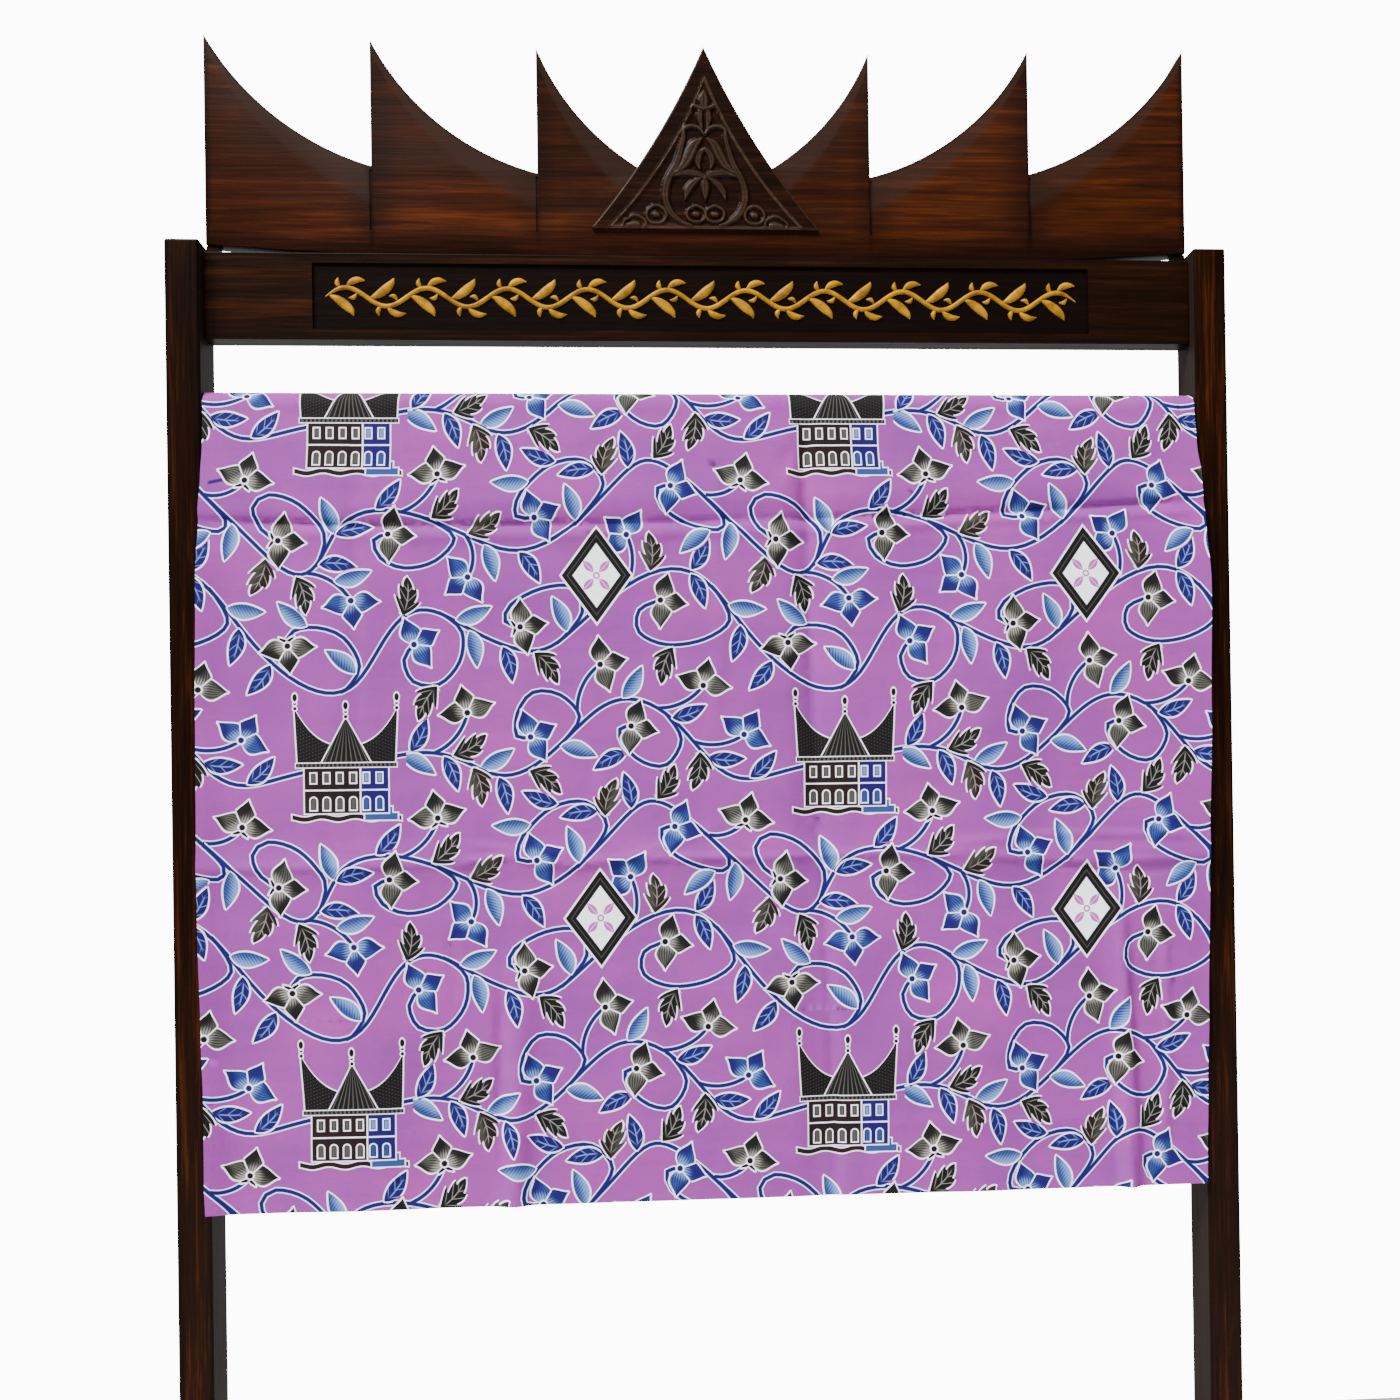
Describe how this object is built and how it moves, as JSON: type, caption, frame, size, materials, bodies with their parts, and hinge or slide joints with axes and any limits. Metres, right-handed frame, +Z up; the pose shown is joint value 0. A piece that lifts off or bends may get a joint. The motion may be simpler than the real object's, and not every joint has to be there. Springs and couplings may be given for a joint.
{
  "type": "batik cloth on a carved wooden display stand",
  "caption": "Lilac batik cloth with a flower, leaf and house print, hung over the bar of a dark wooden display stand with a horned, carved crown board.",
  "frame": {"origin": "on the floor, at the middle of the stand between its two feet", "axes": "+Z up, -Y towards the viewer of the cloth's front, +X to that viewer's right"},
  "size_m": [1.218, 0.42, 1.7983],
  "materials": {
    "post_wood": "glossy dark varnish",
    "rail_wood": "glossy dark varnish",
    "crown_wood": "satin dark varnish",
    "plain_wood": "satin dark varnish",
    "batik_cotton": "matte printed cotton"
  },
  "bodies": {
    "root": {"batik_cloth": "batik_cotton", "crown_board": "crown_wood", "crown_pediment": "crown_wood", "crown_peg_left": "crown_wood", "crown_peg_right": "crown_wood", "foot_left": "plain_wood", "foot_right": "plain_wood", "hanging_bar": "plain_wood", "head_rail": "rail_wood", "lower_stretcher": "plain_wood", "post_left": "post_wood", "post_right": "post_wood"}
  },
  "joints": []
}
